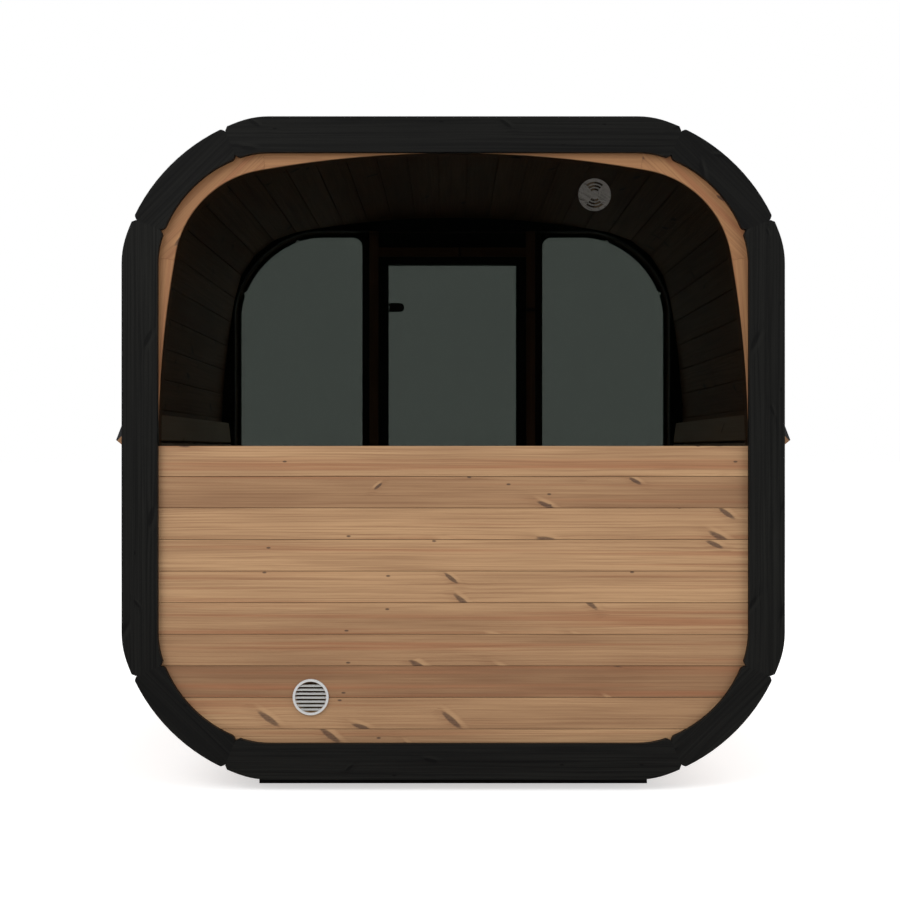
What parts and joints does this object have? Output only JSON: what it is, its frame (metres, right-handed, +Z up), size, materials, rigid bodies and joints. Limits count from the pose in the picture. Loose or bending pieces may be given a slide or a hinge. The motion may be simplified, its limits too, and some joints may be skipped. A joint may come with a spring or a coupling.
{
  "type": "outdoor sauna cabin",
  "caption": "Rounded-square outdoor cabin of wooden staves between two black ring frames, with a half-panorama rear window, glass front door, benches, felt roof and low bearers.",
  "frame": {"origin": "On the ground, under the middle of the cabin: the bottom centre of its bounding box.", "axes": "+X to the right as seen facing the rear window from outside, +Y from the rear window to the front door, +Z up."},
  "size_m": [2.3486, 2.4, 2.34],
  "materials": {
    "natural_wood": "planed softwood, oiled to a warm orange-brown",
    "black_stained_wood": "planed softwood, stained black, satin",
    "bench_wood": "planed pale hardwood, untreated",
    "roof_felt": "black bitumen roofing felt with a fine mineral face",
    "tinted_glass": "clear tempered glass with a dark grey-green tint",
    "steel": "brushed stainless steel",
    "grille_metal": "satin anodised aluminium",
    "vent_metal": "light grey satin paint",
    "vent_shutter_wood": "thin plain veneer disc"
  },
  "bodies": {
    "cabin": {"backrest_battens": "bench_wood", "backrest_boards": "bench_wood", "bearers": "black_stained_wood", "bench_beams": "bench_wood", "bench_boards": "bench_wood", "bench_legs": "bench_wood", "door_jambs": "black_stained_wood", "door_posts": "natural_wood", "door_sill": "natural_wood", "door_stops": "black_stained_wood", "drip_strip_left": "natural_wood", "drip_strip_right": "natural_wood", "facade_posts": "black_stained_wood", "facade_transom": "black_stained_wood", "floor": "natural_wood", "floor_joists": "natural_wood", "front_arch_corners": "natural_wood", "front_arch_sides": "natural_wood", "front_frame_corners": "black_stained_wood", "front_frame_sides": "black_stained_wood", "front_panels": "natural_wood", "front_ring_boards": "black_stained_wood", "front_ring_corners": "black_stained_wood", "head_board": "black_stained_wood", "head_strip": "natural_wood", "hinge_brackets": "steel", "rear_arch_corners": "natural_wood", "rear_arch_sides": "natural_wood", "rear_frame_corners": "natural_wood", "rear_frame_sides": "natural_wood", "rear_ring_boards": "black_stained_wood", "rear_ring_corners": "black_stained_wood", "rear_wall": "natural_wood", "rear_window": "tinted_glass", "roof_felt": "roof_felt", "shell_bottom": "natural_wood", "shell_corner_bottom_left": "natural_wood", "shell_corner_bottom_right": "natural_wood", "shell_corner_top_left": "natural_wood", "shell_corner_top_right": "natural_wood", "shell_left": "natural_wood", "shell_right": "natural_wood", "shell_top": "natural_wood", "side_windows": "tinted_glass", "threshold": "black_stained_wood", "vent_cover": "vent_metal", "vent_shutter": "vent_shutter_wood", "wall_grille": "grille_metal", "wall_posts": "natural_wood", "window_rails": "natural_wood"},
    "door": {"door_glass": "tinted_glass", "handle_bars": "bench_wood", "handle_bolts": "steel", "hinge_clamps": "steel"}
  },
  "joints": [
    {"name": "door_hinge", "type": "hinge", "parent": "cabin", "child": "door", "pos_m": [-0.299, 1.166, 1.19], "axis": [0, 0, 1], "range_deg": [0, 100]}
  ]
}
